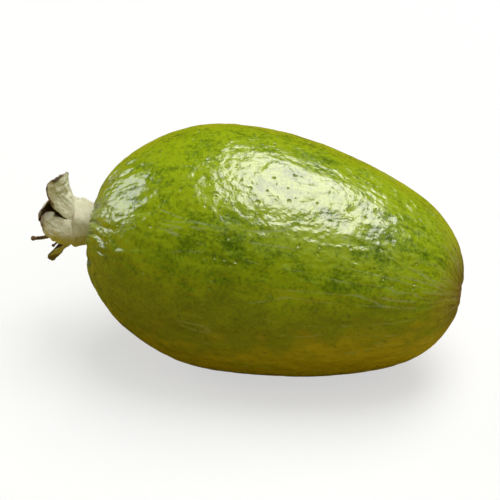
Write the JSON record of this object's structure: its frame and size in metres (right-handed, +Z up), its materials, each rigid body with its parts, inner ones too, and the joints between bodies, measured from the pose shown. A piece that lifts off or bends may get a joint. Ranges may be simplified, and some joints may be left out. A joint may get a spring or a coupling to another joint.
{
  "type": "feijoa",
  "caption": "Whole feijoa lying on its side, an egg-shaped green fruit with a felted calyx at one end and a stem scar at the other.",
  "frame": {"origin": "middle of the small flat spot under the fruit that it rests on", "axes": "+X along the fruit from its calyx end to its stem end, +Z up from the surface that it rests on"},
  "size_m": [0.0803, 0.045, 0.0447],
  "materials": {
    "fruit_skin": "waxy green skin with a soft gloss, finely pebbled and mottled",
    "calyx_felt": "pale felted sepal, brown and dry at its tip and inside",
    "dried_thread": "dry brown flower thread"
  },
  "bodies": {
    "root": {"fruit": "fruit_skin", "calyx_cup": "calyx_felt", "sepal_upper": "calyx_felt", "sepal_back": "calyx_felt", "sepal_lower": "calyx_felt", "sepal_front": "calyx_felt", "dried_style": "dried_thread", "dried_stamen_1": "dried_thread", "dried_stamen_2": "dried_thread", "dried_stamen_3": "dried_thread"}
  },
  "joints": []
}
